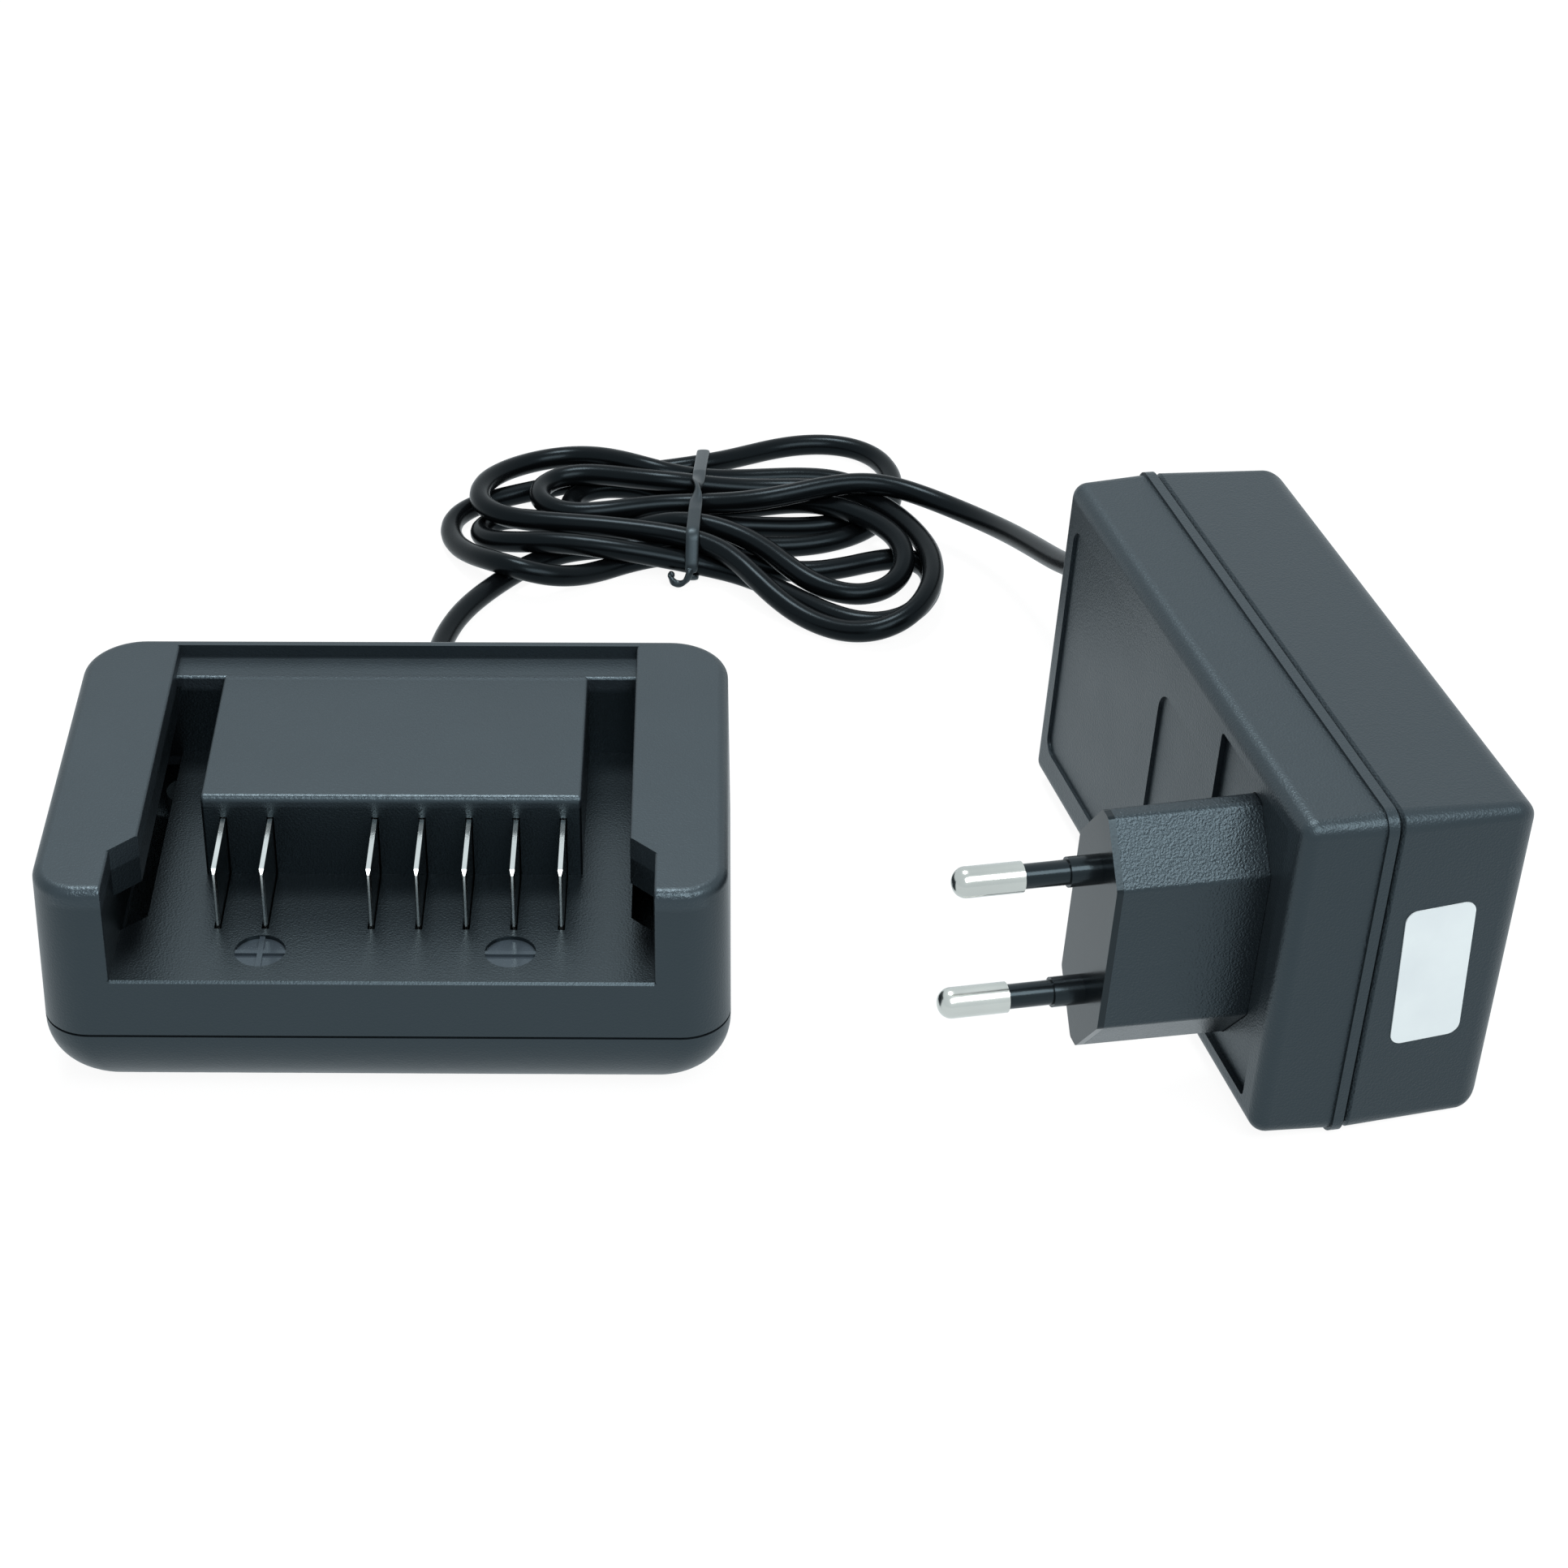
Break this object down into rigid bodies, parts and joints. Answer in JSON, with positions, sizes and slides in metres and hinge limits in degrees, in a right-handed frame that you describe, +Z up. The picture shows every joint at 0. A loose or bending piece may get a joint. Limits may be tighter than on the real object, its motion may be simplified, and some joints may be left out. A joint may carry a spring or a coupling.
{
  "type": "power tool battery charger",
  "caption": "Slide-on battery charging cradle with contact blades, a plug-in mains adapter and the tied-up low-voltage cord that joins them",
  "frame": {"origin": "Centre of the flat underside of the charging cradle.", "axes": "+Z is up. The battery slides into the cradle along +Y and +X is to the right of someone who pushes it in. The adapter stands on its long side at +X, and the cord lies behind the cradle at +Y."},
  "size_m": [0.1867, 0.178, 0.0493],
  "materials": {
    "cradle_plastic": "satin moulded black, fine grain",
    "adapter_plastic": "fine-textured moulded black",
    "blade_metal": "tin-plated, satin",
    "pin_metal": "nickel-plated, polished",
    "sleeve_plastic": "smooth black",
    "carrier_plastic": "plain moulded black",
    "board_laminate": "green laminate",
    "relief_rubber": "soft black, ringed",
    "cord_jacket": "smooth black jacket",
    "tie_plastic": "black coated wire",
    "sticker_film": "white, blank",
    "screw_steel": "zinc-plated",
    "heatsink_aluminium": "plain",
    "ferrite": "dark grey sintered ferrite",
    "winding_tape": "yellow insulating tape",
    "capacitor_sleeve": "dark blue shrink sleeve",
    "film_capacitor_case": "yellow case",
    "fuse_body": "brown",
    "lead_insulation": "red insulation",
    "component_plastic": "black moulded packages"
  },
  "bodies": {
    "root": {"adapter_front_shell": "adapter_plastic", "adapter_rear_shell": "adapter_plastic", "adapter_sticker": "sticker_film", "adapter_strain_relief": "relief_rubber", "balance_chip": "component_plastic", "bridge_rectifier": "component_plastic", "bulk_capacitor": "capacitor_sleeve", "contact_blade_1": "blade_metal", "contact_blade_2": "blade_metal", "contact_blade_3": "blade_metal", "contact_blade_4": "blade_metal", "contact_blade_5": "blade_metal", "contact_blade_6": "blade_metal", "contact_blade_7": "blade_metal", "contact_carrier": "carrier_plastic", "control_chip": "component_plastic", "cord_adapter_end": "cord_jacket", "cord_cradle_end": "cord_jacket", "cord_hank": "cord_jacket", "cradle_board": "board_laminate", "cradle_bottom_shell": "cradle_plastic", "cradle_capacitor": "capacitor_sleeve", "cradle_leads": "lead_insulation", "cradle_screws": "screw_steel", "cradle_strain_relief": "relief_rubber", "cradle_top_shell": "cradle_plastic", "main_board": "board_laminate", "mains_choke": "ferrite", "mains_fuse": "fuse_body", "mains_leads": "lead_insulation", "optocoupler": "component_plastic", "output_capacitors": "capacitor_sleeve", "output_heatsink": "heatsink_aluminium", "output_leads": "lead_insulation", "output_rectifier": "component_plastic", "pin_carrier": "adapter_plastic", "pin_sleeve_lower": "sleeve_plastic", "pin_sleeve_upper": "sleeve_plastic", "plug_pin_lower": "pin_metal", "plug_pin_upper": "pin_metal", "plug_tower": "adapter_plastic", "power_switch": "component_plastic", "primary_heatsink": "heatsink_aluminium", "reverse_diode": "component_plastic", "suppression_capacitor": "film_capacitor_case", "transformer_bobbin": "carrier_plastic", "transformer_core": "ferrite", "transformer_winding": "winding_tape", "twist_tie": "tie_plastic"}
  },
  "joints": []
}
